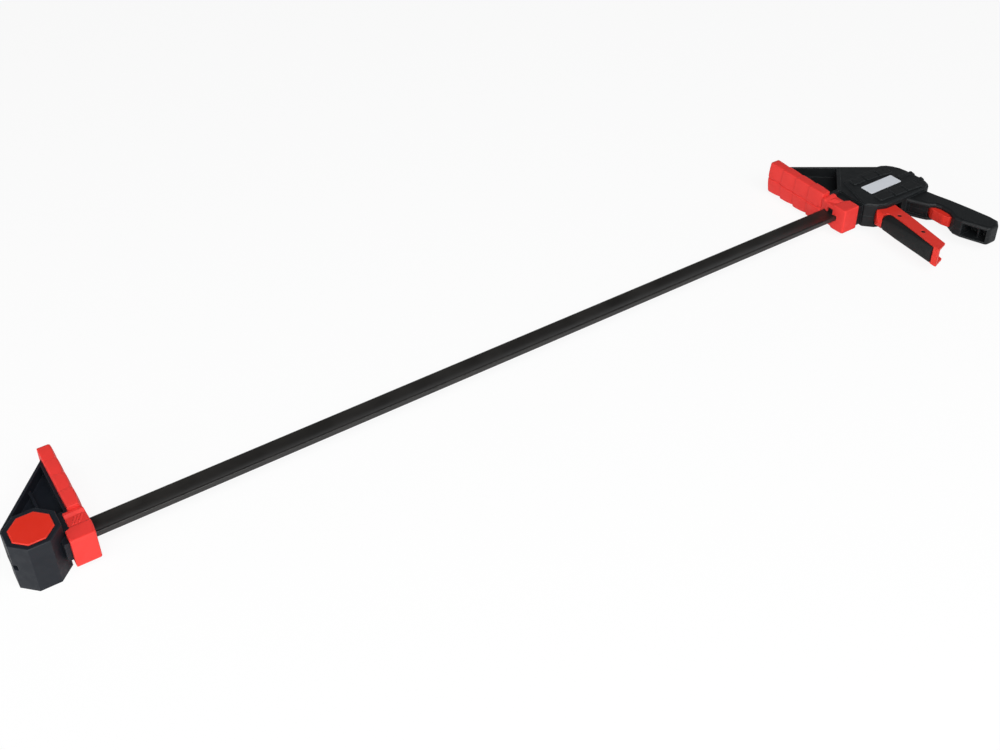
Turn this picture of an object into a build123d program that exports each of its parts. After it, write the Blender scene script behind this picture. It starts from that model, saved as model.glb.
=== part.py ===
"""Quick release bar clamp: a steel bar, a fixed jaw and a sliding jaw driven by a trigger.

Millimetres, +Z up. The clamp lies on its side: +X runs along the bar from the fixed jaw to the
sliding jaw, both jaws reach towards +Y and the handle hangs towards -Y. The origin is on the lower
face of the fixed jaw's octagonal housing, below the bar's axis and in line with the lock pin.
"""

import os
from math import radians, sin

from build123d import *

os.makedirs("parts", exist_ok=True)

# The clamp as a whole
opening = 900.0  # between the edges of the two long pads, sliding jaw at its stop
throat = 94.0  # from the bar's edge to the tips of the pads

# Fits, each side unless it says otherwise
running = 0.04  # pins in their holes
sliding = 0.2  # bar in the jaws
slip_on = 0.1  # rubber pads on the jaws
moving_gap = 0.3  # levers and plates beside fixed walls
edge_break = 0.6  # chamfer on moulded rims

# Bar: a flat section with a shallow hollow along each side
bar_width = 20.6
bar_thickness = 5.8
bar_web = 3.4  # thickness left in the middle
bar_flange = 2.2  # flat strip beside the hollow
bar_corner = 0.7  # rounding of the rolled corners
bar_tail = 20.0  # bar beyond the lock pin
stop_pin_radius = 2.0
stop_pin_length = 11.0
stop_pin_edge = 5.0  # from the bar's end
pin_chamfer = 0.4

# Fixed jaw
housing_flats = 46.4
housing_height = 51.0
housing_shift = 2.2  # the housing's centre above the bar's axis
arm_half = 14.0  # half thickness of both jaws' arms
arm_rim = 2.6
arm_web = 2.0  # half thickness of the arm's web
arm_foot = 25.0  # where the arm's outer edge leaves the housing
arm_rib = 2.4
arm_rib_x = 13.5
arm_rib_half = 8.0  # half height of the rib across the arm's pocket
arm_short = 10.0  # the arm's tip below the pad's
face_plate = 2.8
nose_width = 27.0
nose_height = 12.0
nose_length = 13.0
nose_key_width = 8.4  # the upright key that reaches on through the pad
nose_key_half = 9.2
nose_key_short = 1.1  # its end behind the pad's front
arm_round = 8.0  # the arm's outer corner beside the housing
block_root = 4.0  # how far the block behind the bar pad's foot reaches into the housing
block_low = 17.1  # its lower end, below the bar's axis
block_half = 10.0
base_cover = 2.5
base_pocket_flats = 32.0
base_pocket_below = 12.5  # its floor below the bar's axis

# Release button, lock pin and their spring
button_flats = 36.5
button_thickness = 9.0
button_skirt = 2.4
button_proud = 0.8
button_travel = 4.2
lock_pin_radius = 4.0
lock_waist_radius = 2.4
lock_waist_length = 6.4
lock_pin_below = 16.0  # lock pin below the bar's axis
clip_radius = 7.0
clip_thickness = 1.0
clip_groove = 0.8
button_spring_radius = 7.4
button_spring_wire = 1.2
button_spring_turns = 4

# Long pads, the same on both jaws
pad_setback = 34.0  # from the lock pin to the back of the fixed pad
pad_thickness = 12.1
pad_width = 41.2
pad_crown = 2.5
pad_scales = 4
pad_notch = 1.0  # each scale's foot below the next one's top
pad_groove = 1.4
tongue_depth = 5.0
tongue_width = 28.0
tongue_end = 6.0  # from the pad's ends to its pocket

# Bar pads, the same on both jaws
bar_pad_width = 31.8
bar_pad_high = 15.2
bar_pad_low = 22.5
bar_pad_front = 12.7
bar_pad_waist = 5.4
bar_pad_back = 9.7
bar_pad_shoulder = 6.0
bar_pad_step = 1.5
bar_pad_crown = 1.2
bar_pad_fillet = 1.6
saddle_depth = 1.9  # the saddle across each side of a bar pad
saddle_top = (11.5, 8.5)  # its upper slope, at the face and at the floor
saddle_foot = (-5.5, -3.0)  # its lower slope, likewise
pad_gap = 0.4  # between the long pad and the bar pad
pad_play = 0.6  # around the bar in its pad

# Sliding jaw's body, from the back of its long pad
body_front = 18.0
body_rear = 119.2
body_low = 38.5
body_low_front = 34.0
body_high = 30.0
body_high_rear = 95.0
body_half = 14.5
plateau_rise = 1.5
plateau_chamfer = 1.2
shoulder_half = 12.5
band_rise = 0.5  # the bands that run across the body's rear, above the plateau
band_round = 1.6
divider = 2.0  # the rib between the arm's pocket and the body
divider_rise = 0.8
body_wall = 3.0
bay_front = 24.0
bay_high = 21.0
bay_rear = 112.5
web_front = 82.5
web_thickness = 3.5
rear_slot = 4.4  # half width of the rear wall's slot for the stop pin
tread_height = 1.1
tread_taper = 25  # degrees
label_length = 51.0
label_width = 17.3
label_thickness = 0.9
label_sunk = 0.6
label_corner = 1.5
label_x = 66.6
label_y = -3.4

# Handle
handle_half = 12.0
handle_end = 137.0
handle_fillet = 3.5
heel_round = 5.5  # corners of the handle's end, seen in plan
recess_half = 7.8
groove_half = 8.0  # the channel in the handle's end
handle_floor = 2.8  # the wall below it
back_wall = 5.0  # behind the lever
handle_rib = 2.0
handle_rib_x = 103.0  # its front edge
handle_rib_y = -122.0

# Trigger
trigger_pivot_x = 38.0
trigger_pivot_y = -18.0
trigger_pin_radius = 3.0
trigger_head_radius = 6.5
trigger_neck_half = 9.6
trigger_half = 12.0
trigger_end = 127.5
trigger_flange = 2.5
trigger_front_wall = 3.0
trigger_hole_radius = 2.5
grip_inset = 1.2  # the grip's sides inside the trigger's
plug_sunk = 0.4  # the grip's plugs below the trigger's faces
plug_neck_width = 3.2
plug_neck_half = 3.0
plug_neck_root = 27.0
trigger_hole_places = ((40.0, -58.0), (35.5, -97.0))
trigger_neck_end = 44.0  # below the bar's axis, where the neck starts to widen
trigger_wide = 70.0  # below the bar's axis, where it has widened

# Drive plates and their spring
drive_plate_count = 3
drive_plate_front = 51.5
drive_plate_thickness = 3.0
drive_plate_half = 9.0
drive_plate_high = 18.0
drive_plate_low = 21.0
plate_gap = 0.1
bar_spring_radius = 11.8
bar_spring_wire = 1.8
drive_spring_turns = 5
lug_thickness = 5.0

# Brake plates and their spring
brake_plate_count = 2
brake_plate_front = 91.0
brake_plate_thickness = 3.0
brake_plate_high = 20.0
brake_plate_low = 25.0
brake_hole_height = 22.6
brake_pivot_y = 17.0
brake_tilt = 6.0  # degrees, at rest
brake_lug = 3.0  # thickness of the lug that the plates hinge on
bar_past_plates = 14.5  # from the front of the brake plates to the bar's end
brake_spring_turns = 3

# Release lever
release_pivot_x = 98.0
release_pivot_y = -101.0
release_pin_radius = 2.0
release_half = 6.5
release_eye = 4.0  # radius around the pin
release_pin_cover = 1.5  # wall left over the pin's ends
tail_grip = 3.0  # the tail's tip above the plates' lower ends

# Shell screws
screw_radius = 1.6
screw_head_radius = 3.2
screw_head_depth = 2.4
screw_sunk = 0.2  # the head's top below the shell's face
screw_boss_radius = 4.2
screw_reach = 9.0  # into the upper shell
screw_play = 0.4  # around its shank in the lower shell
screw_socket = 1.3
screw_socket_depth = 1.2

# Places that follow from the sizes
axis_z = housing_height / 2
base_pocket_depth = axis_z - base_pocket_below
half_bar = bar_width / 2
pad_tip = half_bar + throat
pad_foot = bar_pad_high + pad_gap
arm_tip = pad_tip - arm_short
jaw_x = pad_setback + opening + 2 * pad_thickness
plateau_top = body_half + plateau_rise
slot_half = trigger_neck_half + 2 * moving_gap
bay_half = plateau_top - body_wall
bar_end = jaw_x + brake_plate_front + bar_past_plates
scale_length = (pad_tip - pad_foot) / pad_scales
button_top = housing_height + button_proud
well_depth = button_thickness + button_travel
housing_side = housing_flats / 2
nose_key_length = bar_pad_back + bar_pad_front - nose_key_short

mid = Plane((0, 0, axis_z))  # through the bar's axis, at the lock pin
jaw_mid = Plane((jaw_x, 0, axis_z))  # the same level, at the back of the sliding jaw's long pad
housing_plane = Plane((0, housing_shift, 0))


def write(piece, name):
    """Labels a finished piece and writes it to its own file."""
    piece.label = name
    export_step(piece, f"parts/{name}.step")


def across(x):
    """The plane across the bar at x, its own x along +Y and its own y along +Z."""
    return Plane((x, 0, axis_z), x_dir=(0, 1, 0), z_dir=(1, 0, 0))


def bar_section(grow):
    """The bar's section, grown by a clearance on every side. Each hollow is an arc."""
    depth = (bar_thickness - bar_web) / 2
    reach = half_bar - bar_flange
    radius = (reach**2 + depth**2) / (2 * depth)
    with BuildSketch() as section:
        Rectangle(bar_width + 2 * grow, bar_thickness + 2 * grow)
        fillet(section.vertices(), bar_corner)
        with Locations((0, bar_web / 2 + radius), (0, -bar_web / 2 - radius)):
            Circle(radius - grow, mode=Mode.SUBTRACT)
    return section.sketch


def outline(*points):
    """A closed face with straight sides through the points."""
    with BuildSketch() as face:
        with BuildLine():
            Polyline(*points, close=True)
        make_face()
    return face.sketch


def coil(start, length, radius, wire, turns, direction):
    """A helical spring of round wire from start along direction."""
    pitch = (length - 2 * wire) / turns
    first = Vector(*start) + Vector(*direction) * wire
    with BuildPart() as spring:
        with BuildLine() as path:
            Helix(pitch, pitch * turns, radius, center=first, direction=direction)
        with BuildSketch(Plane(path.line @ 0, z_dir=path.line % 0)):
            Circle(wire / 2)
        sweep(is_frenet=True)
    return spring.part


# ---- Bar and stop pin ----
with BuildPart() as bar:
    with BuildSketch(across(-bar_tail)):
        add(bar_section(0))
    extrude(amount=bar_end + bar_tail)
    with BuildSketch(mid):
        Circle(lock_pin_radius + running)
        with Locations((-bar_tail / 2, 0)):
            Rectangle(bar_tail, 2 * (lock_waist_radius + sliding))
        with Locations((bar_end - stop_pin_edge, 0)):
            Circle(stop_pin_radius + running)
    extrude(amount=bar_thickness, both=True, mode=Mode.SUBTRACT)
write(bar.part, "bar")

with BuildPart() as bar_stop_pin:
    with BuildSketch(mid):
        with Locations((bar_end - stop_pin_edge, 0)):
            Circle(stop_pin_radius)
    extrude(amount=stop_pin_length / 2, both=True)
    chamfer(bar_stop_pin.edges().filter_by(GeomType.CIRCLE), pin_chamfer)
write(bar_stop_pin.part, "bar_stop_pin")


# ---- Pads ----
def scale_section(shrink):
    """A long pad's section: flat back at x = 0, crowned face, shrunk at the notches."""
    half = pad_width / 2 - shrink
    edge = pad_thickness - shrink
    with BuildSketch() as section:
        with BuildLine():
            Polyline((edge, -half), (0, -half), (0, half), (edge, half))
            ThreePointArc((edge, half), (edge + pad_crown, 0), (edge, -half))
        make_face()
    return section.sketch


def long_pad(back_x, facing):
    """A scaled pad whose back is at back_x and whose face looks along facing, +1 or -1."""

    def section_plane(y):
        return Plane((back_x, y, axis_z), x_dir=(facing, 0, 0), z_dir=(0, 1, 0))

    with BuildPart() as pad:
        for scale in range(pad_scales):
            foot = pad_foot + scale * scale_length
            for part_way, shrink in ((0, pad_notch), (0.6, 0), (1, 0)):
                with BuildSketch(section_plane(foot + part_way * scale_length)):
                    add(scale_section(shrink))
            loft()
        groove = pad_thickness + pad_crown
        with BuildSketch(section_plane(pad_foot - 1)):
            add(outline((groove - pad_groove, 0), (groove + 1, -pad_groove), (groove + 1, pad_groove)))
        extrude(amount=pad_tip - pad_foot + 2, mode=Mode.SUBTRACT)
        with BuildSketch(section_plane(pad_foot + tongue_end)):
            with Locations((tongue_depth / 2, 0)):
                Rectangle(tongue_depth + 2 * slip_on, tongue_width + 2 * slip_on)
        extrude(amount=arm_tip - tongue_end - (pad_foot + tongue_end), mode=Mode.SUBTRACT)
    return pad.part


def bar_pad(back_x, facing):
    """The block around the bar in front of a jaw, slipped over the jaw's nose."""
    plane = Plane((back_x, 0, axis_z), x_dir=(facing, 0, 0), z_dir=(0, 0, facing))
    with BuildPart() as pad:
        with BuildSketch(plane):
            with BuildLine():
                Polyline(
                    (bar_pad_front, bar_pad_high),
                    (-bar_pad_waist, bar_pad_high),
                    (-bar_pad_waist, -bar_pad_shoulder),
                    (-bar_pad_back, -bar_pad_shoulder - bar_pad_step),
                    (-bar_pad_back, -bar_pad_low),
                    (bar_pad_front, -bar_pad_low),
                )
                ThreePointArc(
                    (bar_pad_front, -bar_pad_low),
                    (bar_pad_front + bar_pad_crown, 0),
                    (bar_pad_front, bar_pad_high),
                )
            make_face()
        extrude(amount=bar_pad_width / 2, both=True)
        fillet(pad.edges().filter_by(Axis.Z).group_by(Axis.Y)[0], bar_pad_fillet)
        fillet(pad.faces().group_by(Axis.Z)[-1].edges(), bar_pad_fillet / 2)
        fillet(pad.faces().group_by(Axis.Z)[0].edges(), bar_pad_fillet / 2)
        face = bar_pad_width / 2
        for side in (1, -1):
            with BuildSketch(across(back_x - facing * 2 * bar_pad_back)):
                add(
                    outline(
                        (saddle_top[0], side * face),
                        (saddle_top[1], side * (face - saddle_depth)),
                        (saddle_foot[1], side * (face - saddle_depth)),
                        (saddle_foot[0], side * face),
                        (saddle_foot[0], side * 2 * face),
                        (saddle_top[0], side * 2 * face),
                    )
                )
            extrude(amount=facing * 4 * (bar_pad_back + bar_pad_front), mode=Mode.SUBTRACT)
        with BuildSketch(across(back_x - facing * bar_pad_back)):
            add(bar_section(pad_play))
            Rectangle(nose_key_width + 2 * slip_on, 2 * (nose_key_half + slip_on))
        extrude(amount=facing * 2 * (bar_pad_back + bar_pad_front), mode=Mode.SUBTRACT)
        with BuildSketch(across(back_x - facing * bar_pad_back)):
            Rectangle(nose_width + 2 * slip_on, nose_height + 2 * slip_on)
        extrude(amount=facing * (nose_length + slip_on), mode=Mode.SUBTRACT)
    return pad.part


write(long_pad(pad_setback, 1), "fixed_long_pad")
write(long_pad(jaw_x, -1), "sliding_long_pad")
write(bar_pad(pad_setback, 1), "fixed_bar_pad")
write(bar_pad(jaw_x, -1), "sliding_bar_pad")


def octagon(flats):
    """A regular octagon with two flats across X and two across Y."""
    with BuildSketch() as face:
        RegularPolygon(flats / 2, side_count=8, major_radius=False, rotation=22.5)
    return face.sketch


# ---- Fixed jaw ----
nose_start = pad_setback - bar_pad_back
arm_slope = (arm_tip - arm_foot) / (pad_setback + housing_side)
pocket_foot = arm_foot - 1.6 * arm_rim  # a rim of even width along the sloping edge
pocket_tip = pocket_foot + arm_slope * (pad_setback + housing_side - face_plate)
pocket_points = (
    (arm_rim - housing_side, 0),
    (arm_rim - housing_side, pocket_foot + arm_slope * arm_rim),
    (pad_setback - face_plate, pocket_tip),
    (pad_setback - face_plate, pad_foot + arm_rim),
    (housing_side, pad_foot + arm_rim),
    (0, 0),
)

with BuildPart() as fixed_jaw_housing:
    with BuildSketch(housing_plane):
        add(octagon(housing_flats))
    extrude(amount=housing_height)
    chamfer(fixed_jaw_housing.faces().sort_by(Axis.Z)[-1].edges(), edge_break)
    with BuildSketch(mid) as arm_plan:
        add(
            outline(
                (-housing_side, housing_shift),
                (-housing_side, arm_foot),
                (pad_setback, arm_tip),
                (pad_setback, pad_foot),
                (housing_side - 1, pad_foot),
                (0, housing_shift),
            )
        )
        outer = arm_plan.vertices().filter_by(lambda corner: corner.X < 0 and corner.Y > arm_foot - 1)
        fillet(outer, arm_round)
    extrude(amount=arm_half, both=True)
    # the pocket on each side of the arm's web, with its rib
    for side in (1, -1):
        with BuildSketch(mid.offset(side * arm_web)):
            add(outline(*pocket_points))
            with Locations((0, housing_shift)):
                add(octagon(housing_flats), mode=Mode.SUBTRACT)
            with Locations((arm_rib_x, arm_tip / 2)):
                Rectangle(arm_rib, arm_tip, mode=Mode.SUBTRACT)
        extrude(amount=side * arm_half, mode=Mode.SUBTRACT)
        with BuildSketch(mid.offset(side * arm_rib_half)):
            add(outline(*pocket_points))
            with Locations((0, housing_shift)):
                add(octagon(housing_flats), mode=Mode.SUBTRACT)
        extrude(amount=side * arm_half, mode=Mode.SUBTRACT)
    # the shoulder behind the bar pad's waist, and the block behind its foot
    waist = pad_setback - bar_pad_waist - slip_on
    back = pad_setback - bar_pad_back - slip_on
    ledge = moving_gap - bar_pad_shoulder
    block_front = housing_side - block_root
    with BuildSketch(mid):
        add(outline((housing_side / 3, pad_foot), (waist, pad_foot), (waist, ledge), (housing_side / 3, ledge)))
    extrude(amount=arm_half, both=True)
    with BuildSketch(mid):
        add(outline((block_front, ledge), (back, ledge), (back, -block_low), (block_front, -block_low)))
    extrude(amount=block_half, both=True)
    # the tongue that holds the long pad, and the nose that holds the bar pad
    with BuildSketch(Plane((pad_setback, 0, axis_z), x_dir=(0, 1, 0), z_dir=(1, 0, 0))):
        tongue_foot = pad_foot + tongue_end + slip_on
        tongue_tip = arm_tip - tongue_end - slip_on
        with Locations(((tongue_foot + tongue_tip) / 2, 0)):
            Rectangle(tongue_tip - tongue_foot, tongue_width)
    extrude(amount=tongue_depth)
    with BuildSketch(across(housing_side - 1)):
        Rectangle(nose_width, nose_height)
    extrude(amount=nose_start + nose_length - (housing_side - 1))
    with BuildSketch(across(nose_start)):
        Rectangle(nose_key_width, 2 * nose_key_half)
    extrude(amount=nose_key_length)
    # the bar's way through, the button's well and the lock pin's hole
    with BuildSketch(across(-housing_flats)):
        add(bar_section(sliding))
    extrude(amount=2 * housing_flats, mode=Mode.SUBTRACT)
    with BuildSketch(housing_plane.offset(housing_height - well_depth)):
        add(octagon(button_flats + 2 * moving_gap))
    extrude(amount=well_depth, mode=Mode.SUBTRACT)
    with BuildSketch(housing_plane):
        add(octagon(base_pocket_flats))
    extrude(amount=base_pocket_depth, mode=Mode.SUBTRACT)
    with BuildSketch():
        Circle(lock_pin_radius + running)
    extrude(amount=housing_height, mode=Mode.SUBTRACT)
write(fixed_jaw_housing.part, "fixed_jaw_housing")

with BuildPart() as housing_base_cover:
    with BuildSketch(housing_plane):
        add(octagon(base_pocket_flats))
    extrude(amount=base_cover)
write(housing_base_cover.part, "housing_base_cover")

# ---- Release button ----
button_floor = button_top - button_skirt
with BuildPart() as release_button:
    with BuildSketch(housing_plane.offset(button_top - button_thickness)):
        add(octagon(button_flats))
    extrude(amount=button_thickness)
    chamfer(release_button.faces().sort_by(Axis.Z)[-1].edges(), edge_break)
    with BuildSketch(housing_plane.offset(button_top - button_thickness)):
        add(octagon(button_flats - 2 * button_skirt))
    extrude(amount=button_thickness - button_skirt, mode=Mode.SUBTRACT)
    with BuildSketch(Plane.XY.offset(button_floor)):
        Circle(lock_pin_radius + button_skirt)
    extrude(amount=-(button_thickness - button_skirt - moving_gap))
    with BuildSketch(Plane.XY.offset(button_floor)):
        Circle(lock_pin_radius)
    extrude(amount=-button_thickness, mode=Mode.SUBTRACT)
write(release_button.part, "release_button")

with BuildPart() as lock_pin:
    with BuildSketch(Plane.XY.offset(axis_z - lock_pin_below)):
        Circle(lock_pin_radius)
    extrude(amount=button_floor - (axis_z - lock_pin_below))
    waist_foot = axis_z + bar_web / 2 + moving_gap
    with BuildSketch(Plane.XY.offset(waist_foot)):
        Circle(lock_pin_radius + 1)
        Circle(lock_waist_radius, mode=Mode.SUBTRACT)
    extrude(amount=lock_waist_length, mode=Mode.SUBTRACT)
    clip_top = base_pocket_depth - plate_gap
    with BuildSketch(Plane.XY.offset(clip_top - clip_thickness)):
        Circle(lock_pin_radius + 1)
        Circle(lock_pin_radius - clip_groove, mode=Mode.SUBTRACT)
    extrude(amount=clip_thickness, mode=Mode.SUBTRACT)
write(lock_pin.part, "lock_pin")

with BuildPart() as lock_pin_clip:
    with BuildSketch(Plane.XY.offset(clip_top - clip_thickness)):
        Circle(clip_radius)
        Circle(lock_pin_radius - clip_groove, mode=Mode.SUBTRACT)
        with Locations((clip_radius / 2, 0)):
            Rectangle(clip_radius, lock_pin_radius, mode=Mode.SUBTRACT)
    extrude(amount=clip_thickness)
write(lock_pin_clip.part, "lock_pin_clip")

spring_floor = housing_height - well_depth
button_spring = coil(
    (0, 0, spring_floor), button_floor - spring_floor, button_spring_radius, button_spring_wire,
    button_spring_turns, (0, 0, 1),
)
write(button_spring, "button_spring")

# ---- Sliding jaw's shells ----
body_points = (
    (0, pad_foot),
    (0, arm_tip),
    (body_high_rear, body_high),
    (body_high_rear + 6, body_high - 1),
    (body_high_rear + 12, body_high - 4.4),
    (body_high_rear + 17, body_high - 10.2),
    (body_rear - 3.4, 12.5),
    (body_rear - 1.6, 4.5),
    (body_rear - 0.8, -4),
    (body_rear, -body_low / 2),
    (body_rear - 1, -26),
    (body_rear - 3.5, 6 - body_low),
    (body_rear - 7, 2 - body_low),
    (body_rear - 12, -body_low),
    (body_front + 22, -body_low),
    (body_front + 10, -body_low_front),
    (body_front, 10 - body_low_front),
    (body_front, pad_foot),
)
plateau_points = (
    (34.5, body_high - 2.5),
    (body_high_rear - 1, body_high - 2),
    (body_high_rear + 5, body_high - 2.8),
    (body_high_rear + 11, body_high - 6.2),
    (body_high_rear + 15.5, body_high - 11.5),
    (body_rear - 5.2, 11.5),
    (body_rear - 3.3, 4),
    (body_rear - 2.4, -4),
    (body_rear - 1.8, -body_low / 2),
    (body_rear - 2.8, -25.5),
    (body_rear - 5, 7 - body_low),
    (body_rear - 8, 3.4 - body_low),
    (body_rear - 12.5, 1.3 - body_low),
    (body_front + 23, 1.2 - body_low),
    (body_front + 11, 1.2 - body_low_front),
    (body_front + 1.2, 10.5 - body_low_front),
    (body_front + 1.2, 15 - body_low_front),
)
bay_points = (
    (bay_front, bay_high),
    (bay_rear - 8, bay_high),
    (bay_rear, bay_high - 8),
    (bay_rear, body_wall - body_low),
    (bay_front + 17, body_wall - body_low),
    (bay_front + 7, body_wall - body_low_front),
    (bay_front, 13 - body_low_front),
)
arm_pocket_points = (
    (face_plate, pad_foot + arm_rim + 1),
    (face_plate, arm_tip - 5),
    (51, 55),
    (18, 20.5),
)
divider_points = (arm_pocket_points[2], (54, 56), (54 + divider, 56 - divider), (16 + divider, 15), (14, 16.5), (18, 20.5))
handle_front = (
    (72, -body_low + 2),
    (83, -57),
    (86, -62),
    (92, -66),
    (94.5, -73),
    (94.5, -85),
    (91, -92),
    (88.5, -98),
    (89.5, -107),
    (94, -118),
    (102, -handle_end),
)
handle_back = (
    (117, -handle_end),
    (124.5, -130),
    (124.5, -119),
    (120, -93),
    (115, -69),
    (110, -51),
    (107, -body_low + 2),
)
handle_recess = ((68, -body_low - 1), (79.5, -body_low - 1), (86.8, -57), (87.2, -61), (68, -61))
lever_cavity = (
    (83.0, body_wall - body_low),
    (83.0, -38),
    (89.0, -57),
    (89.0, -60),
    (70.0, -60),
    (70.0, -91.5),
    (91.5, -91.5),
    (92.0, -106.5),
    (119.5 - back_wall, -106.5),
    (119.5 - back_wall, -93),
    (114.5 - back_wall, -69),
    (108 - back_wall, -51),
    (106 - back_wall, body_wall - body_low),
)
end_groove = (
    (80, -108),
    (110, -108),
    (112.5, -111),
    (115.5, -119),
    (116.5, -127),
    (115, -131.5),
    (111.5, handle_floor - handle_end),
    (80, handle_floor - handle_end),
)
screw_places = ((50, 45), (88, 27), (109.5, -30.5), (74, -31), (117, -122), (107, -58))
treads = (
    ((39.5, 13), (56.8, 13), (58.8, 22.7), (40, 23.5)),
    ((60.8, 12.3), (78.5, 11.5), (79.5, 23), (61.8, 23)),
    ((80.8, 11), (98, 7.5), (100, 17), (82.5, 23)),
    ((38.8, -29), (59.8, -30.3), (60.5, -17.5), (39.5, -17)),
    ((62.3, -31), (79.6, -32), (80.3, -18.3), (63.3, -18)),
    ((82.4, -31.5), (104.5, -33.5), (102.5, -18.5), (83.2, -18.5)),
)
rear_bands = (
    ((95.0, 0.2), (119.0, -0.4), (121.2, -2.2), (119.8, -8.6), (95.0, -8.0)),
    ((104.5, -16.0), (119.4, -16.4), (121.1, -18.0), (120.0, -22.8), (104.5, -22.4)),
)
slot_front = 27.2
slot_rear = 66.0
slot_round = 1.5  # corners of its front end
slot_reach = 10.5  # the slot above and below the lower wall
tail_notch_y = -28.0  # the lever tail's notch in the web
tail_notch = 24.0


def screw_face(place):
    """How far from the bar's axis a screw's head seat lies."""
    on_handle = place[1] < -body_low
    return (handle_half if on_handle else body_half) - screw_head_depth


def rear_strip(band):
    """A low band across the body's rear, soft along its upper edges."""
    with BuildPart() as strip:
        with BuildSketch(jaw_mid):
            add(outline(*band))
        extrude(amount=plateau_top + band_rise)
        chamfer(strip.faces().sort_by(Axis.Z)[-1].edges(), band_round)
    return strip.part


def jaw_half():
    """The upper half of the sliding jaw's moulded body, from the bar's axis up."""
    strips = [rear_strip(band) for band in rear_bands]
    with BuildPart() as half:
        with BuildSketch(jaw_mid):
            add(outline(*handle_front, *handle_back))
        extrude(amount=handle_half)
        heel = half.edges().filter_by(Axis.Z).group_by(Axis.Y)[0]
        fillet(heel, heel_round)
        rim = half.faces().sort_by(Axis.Z)[-1].edges()
        fillet(rim, handle_fillet)
        with BuildSketch(jaw_mid):
            add(outline(*body_points))
        extrude(amount=body_half)
        with BuildSketch(jaw_mid.offset(body_half)):
            add(outline(*plateau_points))
        extrude(amount=plateau_rise)
        chamfer(half.faces().sort_by(Axis.Z)[-1].edges(), plateau_chamfer)
        for tread in treads:
            with BuildSketch(jaw_mid.offset(plateau_top)):
                add(outline(*tread))
            extrude(amount=tread_height, taper=tread_taper)
        with BuildSketch(jaw_mid.offset(body_half)):
            add(outline(*divider_points))
        extrude(amount=divider_rise)
        with BuildSketch(jaw_mid):
            waist = bar_pad_waist + slip_on
            back = bar_pad_back + slip_on
            ledge = moving_gap - bar_pad_shoulder
            root = body_front + 1
            foot = bar_pad_step - bar_pad_low
            add(outline((root, pad_foot), (waist, pad_foot), (waist, ledge), (back, ledge), (back, foot), (root, foot)))
        extrude(amount=shoulder_half)
        for strip in strips:
            add(strip)
        # the pocket in the arm, then the two bays for the mechanism
        with BuildSketch(jaw_mid.offset(arm_web)):
            add(outline(*arm_pocket_points))
        extrude(amount=body_half, mode=Mode.SUBTRACT)
        with BuildSketch(jaw_mid):
            add(outline(*bay_points))
            with Locations((web_front + web_thickness / 2, 0)):
                Rectangle(web_thickness, 4 * body_low, mode=Mode.SUBTRACT)
        extrude(amount=bay_half, mode=Mode.SUBTRACT)
        # in the handle: the lever's cavity and window, a recess above it and a groove below it
        with BuildSketch(jaw_mid):
            add(outline(*lever_cavity))
        extrude(amount=release_half + 2 * moving_gap, mode=Mode.SUBTRACT)
        with BuildSketch(jaw_mid):
            add(outline(*handle_recess))
        extrude(amount=recess_half, mode=Mode.SUBTRACT)
        with BuildSketch(jaw_mid):
            add(outline(*end_groove))
            with Locations((handle_rib_x + body_rear / 2, handle_rib_y)):
                Rectangle(body_rear, handle_rib, mode=Mode.SUBTRACT)
        extrude(amount=groove_half, mode=Mode.SUBTRACT)
        # the trigger's slot in the lower wall, round at its front, and the lever tail's notch in the web
        with BuildSketch(Plane((jaw_x, -body_low - slot_reach, axis_z), x_dir=(1, 0, 0), z_dir=(0, 1, 0))) as slot:
            with Locations(((slot_front + slot_rear) / 2, 0)):
                Rectangle(slot_rear - slot_front, 2 * slot_half)
            fillet(slot.vertices().group_by(Axis.X)[0], slot_round)
        extrude(amount=2 * slot_reach, mode=Mode.SUBTRACT)
        with BuildSketch(jaw_mid):
            with Locations((web_front + web_thickness / 2, tail_notch_y)):
                Rectangle(web_thickness + 2, tail_notch)
        extrude(amount=slot_half, mode=Mode.SUBTRACT)
        # bosses for the screws and the trigger's pin, and the drive plates' lug
        for place in screw_places:
            with BuildSketch(jaw_mid):
                with Locations(place):
                    Circle(screw_boss_radius)
            extrude(amount=screw_face(place) if place[1] < -body_low else bay_half)
        with BuildSketch(jaw_mid.offset(trigger_neck_half + moving_gap)):
            with Locations((trigger_pivot_x, trigger_pivot_y)):
                Circle(2 * trigger_pin_radius)
        extrude(amount=bay_half - trigger_neck_half)
        with BuildSketch(jaw_mid.offset(bar_thickness / 2 + 2 * sliding)):
            with Locations((drive_plate_front - moving_gap - lug_thickness / 2, bay_high)):
                Rectangle(lug_thickness, 2 * (bay_high - half_bar - 1))
            with Locations((brake_plate_front - moving_gap - brake_lug / 2, bay_high)):
                Rectangle(brake_lug, 2 * (bay_high - brake_pivot_y + 1))
        extrude(amount=drive_plate_half)
        # the tongue and nose for the pads
        with BuildSketch(Plane((jaw_x, 0, axis_z), x_dir=(0, 1, 0), z_dir=(1, 0, 0))):
            foot = pad_foot + tongue_end + slip_on
            tip = arm_tip - tongue_end - slip_on
            with Locations(((foot + tip) / 2, tongue_width / 4)):
                Rectangle(tip - foot, tongue_width / 2)
        extrude(amount=-tongue_depth)
        with BuildSketch(across(jaw_x + body_front)):
            with Locations((0, nose_height / 4)):
                Rectangle(nose_width, nose_height / 2)
        extrude(amount=-(body_front - bar_pad_back + nose_length))
        with BuildSketch(across(jaw_x + bar_pad_back)):
            with Locations((0, nose_key_half / 2)):
                Rectangle(nose_key_width, nose_key_half)
        extrude(amount=-nose_key_length)
        # the bar's way through every wall, wider at the back for the stop pin
        with BuildSketch(across(jaw_x - bar_pad_front)):
            add(bar_section(sliding))
        extrude(amount=body_rear + 2 * bar_pad_front, mode=Mode.SUBTRACT)
        with BuildSketch(across(jaw_x + web_front + web_thickness)):
            Rectangle(2 * rear_slot, stop_pin_length + 4 * sliding)
        extrude(amount=body_rear, mode=Mode.SUBTRACT)
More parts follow.
